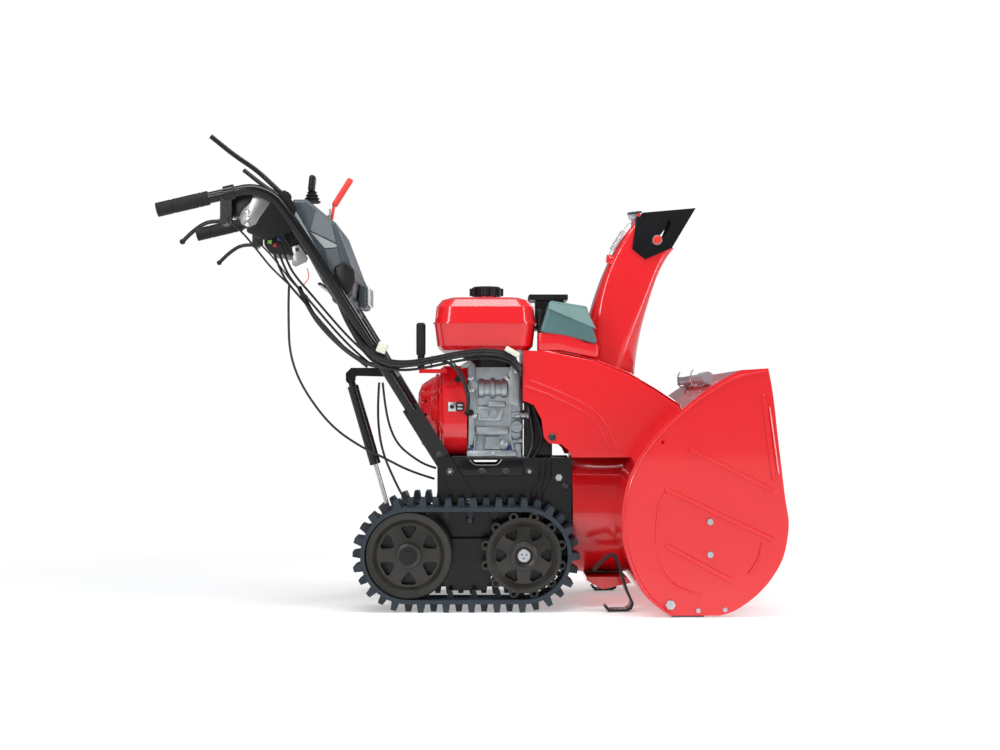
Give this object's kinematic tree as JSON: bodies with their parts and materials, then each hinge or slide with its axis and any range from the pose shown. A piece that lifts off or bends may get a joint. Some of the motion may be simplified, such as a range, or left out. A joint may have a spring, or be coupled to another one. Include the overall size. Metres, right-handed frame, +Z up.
{
  "type": "snow blower",
  "caption": "Two-stage walk-behind snow blower on rubber tracks, with a wide serrated auger housing, a turning discharge chute with a tilting deflector, an engine and long handlebars.",
  "frame": {"origin": "middle of the whole object in X and Y, on the ground the tracks stand on", "axes": "+X forward to the auger, +Y to the machine's left, +Z up"},
  "size_m": [1.5215, 0.7392, 1.1617],
  "materials": {
    "red_paint": "gloss",
    "black_paint": "gloss",
    "steel": "satin",
    "cast_alloy": "as cast",
    "cast_grey": "rough",
    "track_rubber": "matt",
    "wheel_plastic": "satin",
    "black_plastic": "matt",
    "grip_rubber": "matt",
    "teal_plastic": "satin",
    "console_plastic": "satin",
    "lens": "clear",
    "zinc": "zinc plated",
    "red_plastic": "gloss",
    "cable_black": "satin",
    "dark_metal": "satin",
    "grey_plastic": "satin"
  },
  "bodies": {
    "chassis": {"main_frame": "black_paint", "transmission_case": "cast_alloy", "engine_block": "cast_alloy", "fan_housing": "red_paint", "fuel_tank": "red_paint", "muffler": "dark_metal", "intake_cover": "teal_plastic", "carburettor_and_cleaner": "black_plastic", "belt_cover": "red_paint", "auger_housing": "red_paint", "impeller_housing": "red_paint", "side_plates": "red_paint", "auger_bearings": "steel", "skid_shoes_and_scraper": "black_paint", "auger_gearcase": "cast_grey", "drive_belts": "cable_black", "chute_motor": "black_plastic", "handle_tubes": "black_paint", "handle_grips": "grip_rubber", "console_shell": "console_plastic", "headlight_lens": "lens", "lever_mounts": "black_paint", "handle_cross_braces": "black_paint", "fasteners_and_clips": "zinc", "speed_cable": "cable_black", "drive_cable": "cable_black", "auger_cable": "cable_black", "wiring_harness": "cable_black", "steering_cable_right": "cable_black", "steering_cable_left": "cable_black"},
    "auger": {"auger_shaft": "steel", "auger_flights": "red_paint"},
    "impeller_rotor": {"impeller": "red_paint"},
    "crank": {"crank_rotors": "steel"},
    "transmission_input": {"transmission_pulley": "steel"},
    "tensioner": {"belt_tensioner": "steel"},
    "chute": {"chute_tube": "red_paint", "deflector_spring": "zinc"},
    "pinion": {"chute_pinion": "steel"},
    "deflector": {"deflector": "black_paint"},
    "carriage": {"track_carriage": "black_paint", "track_belts": "track_rubber"},
    "idler_right": {"idler_right": "wheel_plastic"},
    "idler_left": {"idler_left": "wheel_plastic"},
    "sprocket_right": {"sprocket_right": "wheel_plastic"},
    "sprocket_left": {"sprocket_left": "wheel_plastic"},
    "strut_cylinder": {"strut_cylinder": "black_paint"},
    "strut_rod": {"strut_rod": "steel"},
    "clutch_lever_right": {"clutch_lever_right": "black_paint"},
    "clutch_lever_left": {"clutch_lever_left": "black_paint"},
    "steering_lever_right": {"steering_lever_right": "black_paint"},
    "steering_lever_left": {"steering_lever_left": "black_paint"},
    "speed_lever": {"speed_lever": "red_plastic"},
    "joystick_gimbal": {"joystick_gimbal": "steel"},
    "joystick": {"chute_joystick": "black_plastic"},
    "key": {"ignition_key": "grey_plastic"},
    "fuel_cap": {"fuel_cap": "black_plastic"},
    "oil_cap": {"oil_filler_cap": "grey_plastic"},
    "starter": {"starter_handle": "grip_rubber"},
    "stick": {"snow_clearing_stick": "grey_plastic"}
  },
  "joints": [
    {"name": "auger_spin", "type": "hinge", "parent": "chassis", "child": "auger", "pos_m": [0.57, 0, 0.188], "axis": [0, 1, 0], "continuous": true},
    {"name": "impeller_spin", "type": "hinge", "parent": "chassis", "child": "impeller_rotor", "pos_m": [0.3, 0, 0.231], "axis": [1, 0, 0], "continuous": true},
    {"name": "crank_spin", "type": "hinge", "parent": "chassis", "child": "crank", "pos_m": [0.16, 0, 0.48], "axis": [1, 0, 0], "continuous": true},
    {"name": "transmission_input_spin", "type": "hinge", "parent": "chassis", "child": "transmission_input", "pos_m": [0.158, 0, 0.29], "axis": [1, 0, 0], "continuous": true},
    {"name": "tensioner_swing", "type": "hinge", "parent": "chassis", "child": "tensioner", "pos_m": [0.196, 0.111, 0.324], "axis": [1, 0, 0], "range_deg": [0, 12]},
    {"name": "chute_turn", "type": "hinge", "parent": "chassis", "child": "chute", "pos_m": [0.348, 0, 0.437], "axis": [0, 0, 1], "range_deg": [-105, 105]},
    {"name": "pinion_turn", "type": "hinge", "parent": "chassis", "child": "pinion", "pos_m": [0.348, 0.102, 0.45], "axis": [0, 0, 1], "range_deg": [-720, 720]},
    {"name": "deflector_tilt", "type": "hinge", "parent": "chute", "child": "deflector", "pos_m": [0.431, 0, 0.991], "axis": [0, 1, 0], "range_deg": [-5, 40]},
    {"name": "carriage_tilt", "type": "hinge", "parent": "chassis", "child": "carriage", "pos_m": [0.1306, 0, 0.137], "axis": [0, 1, 0], "range_deg": [-2, 8]},
    {"name": "idler_spin_right", "type": "hinge", "parent": "carriage", "child": "idler_right", "pos_m": [-0.1506, -0.204, 0.137], "axis": [0, 1, 0], "continuous": true},
    {"name": "idler_spin_left", "type": "hinge", "parent": "carriage", "child": "idler_left", "pos_m": [-0.1506, 0.204, 0.137], "axis": [0, 1, 0], "continuous": true},
    {"name": "sprocket_spin_right", "type": "hinge", "parent": "chassis", "child": "sprocket_right", "pos_m": [0.1306, -0.204, 0.137], "axis": [0, 1, 0], "continuous": true},
    {"name": "sprocket_spin_left", "type": "hinge", "parent": "chassis", "child": "sprocket_left", "pos_m": [0.1306, 0.204, 0.137], "axis": [0, 1, 0], "continuous": true},
    {"name": "strut_swing", "type": "hinge", "parent": "chassis", "child": "strut_cylinder", "pos_m": [-0.302, -0.125, 0.57], "axis": [0, 1, 0], "range_deg": [-6, 6]},
    {"name": "strut_stroke", "type": "slide", "parent": "strut_cylinder", "child": "strut_rod", "axis": [-0.2804, 0, 0.9599], "range_m": [-0.02, 0.06]},
    {"name": "clutch_press_right", "type": "hinge", "parent": "chassis", "child": "clutch_lever_right", "pos_m": [-0.452, -0.252, 1.012], "axis": [0, -1, 0], "range_deg": [0, 27], "stiffness_Nm_per_rad": 3, "springref_deg": -20.05},
    {"name": "clutch_press_left", "type": "hinge", "parent": "chassis", "child": "clutch_lever_left", "pos_m": [-0.452, 0.252, 1.012], "axis": [0, -1, 0], "range_deg": [0, 27], "stiffness_Nm_per_rad": 3, "springref_deg": -20.05},
    {"name": "steering_pull_right", "type": "hinge", "parent": "chassis", "child": "steering_lever_right", "pos_m": [-0.596, -0.28, 0.95], "axis": [0, 1, 0], "range_deg": [0, 20], "stiffness_Nm_per_rad": 1.5, "springref_deg": -20.05},
    {"name": "steering_pull_left", "type": "hinge", "parent": "chassis", "child": "steering_lever_left", "pos_m": [-0.596, 0.28, 0.95], "axis": [0, 1, 0], "range_deg": [0, 20], "stiffness_Nm_per_rad": 1.5, "springref_deg": -20.05},
    {"name": "speed_select", "type": "hinge", "parent": "chassis", "child": "speed_lever", "pos_m": [-0.372, -0.03, 0.905], "axis": [0, 1, 0], "range_deg": [-16, 16]},
    {"name": "joystick_fore_aft", "type": "hinge", "parent": "chassis", "child": "joystick_gimbal", "pos_m": [-0.402, -0.11, 0.988], "axis": [0, 1, 0], "range_deg": [-9, 9], "stiffness_Nm_per_rad": 0.9},
    {"name": "joystick_side", "type": "hinge", "parent": "joystick_gimbal", "child": "joystick", "pos_m": [-0.402, -0.11, 0.988], "axis": [1, 0, 0], "range_deg": [-9, 9], "stiffness_Nm_per_rad": 0.9},
    {"name": "key_turn", "type": "hinge", "parent": "chassis", "child": "key", "pos_m": [-0.372, 0.06, 1.003], "axis": [0, 0, 1], "range_deg": [0, 60]},
    {"name": "fuel_cap_turn", "type": "hinge", "parent": "chassis", "child": "fuel_cap", "pos_m": [0.04, -0.06, 0.785], "axis": [0, 0, 1], "range_deg": [0, 90]},
    {"name": "oil_cap_turn", "type": "hinge", "parent": "chassis", "child": "oil_cap", "pos_m": [0.116, -0.13, 0.45], "axis": [0, -1, 0], "range_deg": [0, 180]},
    {"name": "starter_pull", "type": "slide", "parent": "chassis", "child": "starter", "axis": [0, 0, 1], "range_m": [0, 0.35], "stiffness_N_per_m": 20, "springref_m": -0.1},
    {"name": "stick_lift", "type": "slide", "parent": "chassis", "child": "stick", "axis": [0.45, 0, 0.893], "range_m": [0, 0.12]}
  ],
  "couplings": [
    {"joint": "impeller_spin", "follows": "auger_spin", "ratio": 10},
    {"joint": "pinion_turn", "follows": "chute_turn", "ratio": -6.4706},
    {"joint": "tensioner_swing", "follows": "clutch_press_right", "ratio": 0.444},
    {"joint": "strut_swing", "follows": "carriage_tilt", "ratio": -0.43},
    {"joint": "strut_stroke", "follows": "carriage_tilt", "m_per_rad": 0.283}
  ]
}
